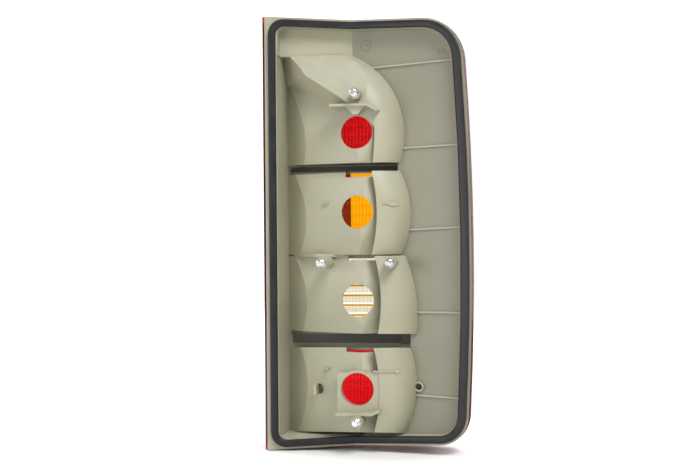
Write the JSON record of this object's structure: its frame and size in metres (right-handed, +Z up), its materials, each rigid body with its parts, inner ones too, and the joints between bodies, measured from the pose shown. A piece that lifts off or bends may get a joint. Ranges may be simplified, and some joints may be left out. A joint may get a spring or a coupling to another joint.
{
  "type": "tail light cluster",
  "caption": "Left-hand rear lamp cluster of a van: grey moulded housing with reflector chambers, foam seal, metal studs and a red, amber and clear lens.",
  "frame": {"origin": "centre of the top stud, on the face of its boss where the body panel seats", "axes": "+X outboard, +Y rearward to the lens, +Z up along the lamp"},
  "size_m": [0.1996, 0.095, 0.411],
  "materials": {
    "housing": "warm grey moulded plastic with a soft sheen",
    "foam": "closed-cell foam, satin skin",
    "red_lens": "clear red acrylic with fluted inside",
    "amber_lens": "clear amber acrylic with fluted inside",
    "clear_lens": "colourless acrylic with fluted inside",
    "amber_bars": "amber acrylic",
    "zinc": "bright zinc plate"
  },
  "bodies": {
    "root": {"housing": "housing", "gasket": "foam", "red_lens": "red_lens", "amber_lens": "amber_lens", "clear_lens": "clear_lens", "amber_bars": "amber_bars", "stud_top": "zinc", "stud_inner": "zinc", "stud_outer": "zinc", "stud_bottom": "zinc"}
  },
  "joints": []
}
